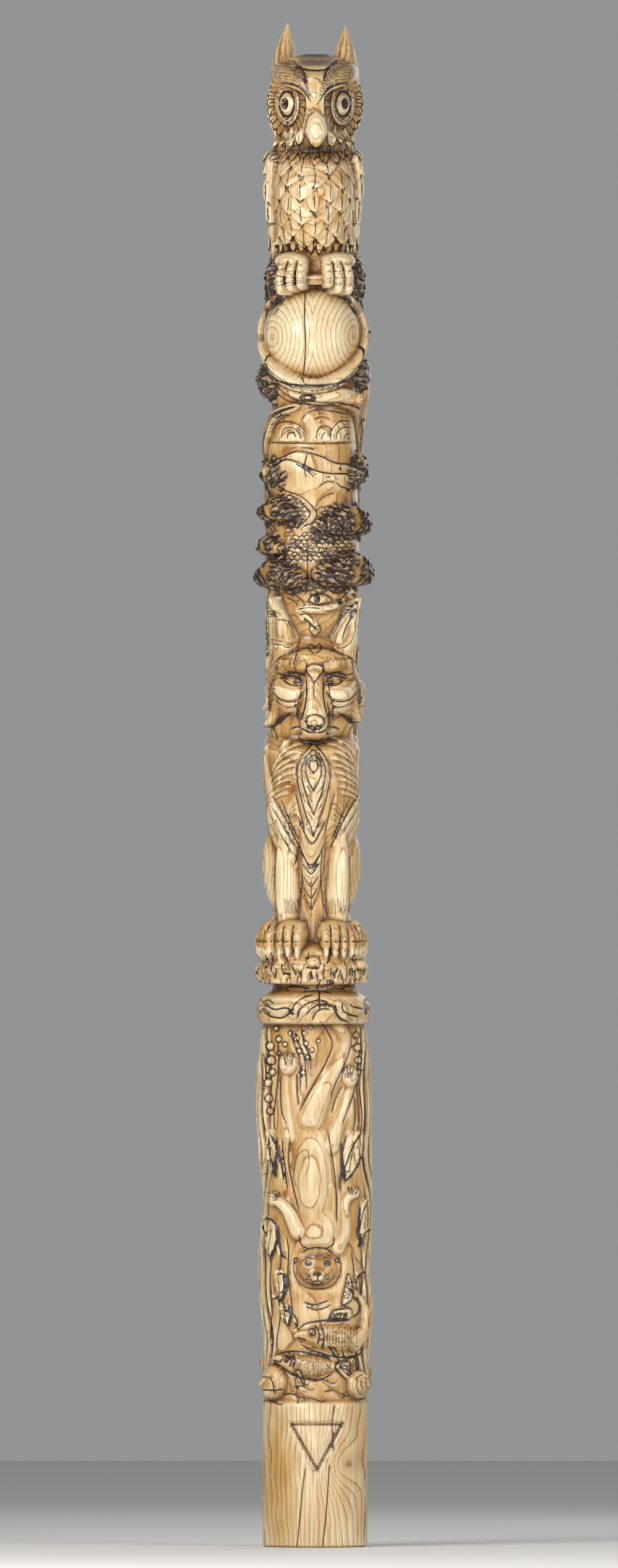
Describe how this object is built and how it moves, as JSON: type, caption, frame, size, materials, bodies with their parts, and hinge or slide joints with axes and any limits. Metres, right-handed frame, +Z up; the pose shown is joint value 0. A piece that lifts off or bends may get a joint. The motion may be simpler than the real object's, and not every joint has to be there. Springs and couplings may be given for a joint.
{
  "type": "carved totem pole",
  "caption": "Tall carved wooden totem pole: an owl, a moon in a wreath, a wolf, an otter and fish, cut in relief down one log that stands on its own flat foot.",
  "frame": {"origin": "centre of the underside of the foot", "axes": "+Z up along the log, the carved front faces -Y, +X to the viewer's right"},
  "size_m": [0.3489, 0.35, 4.3315],
  "materials": {
    "wood": "glossy varnish over honey-gold wood with brown and near-black grooves"
  },
  "bodies": {
    "root": {"totem_pole": "wood"}
  },
  "joints": []
}
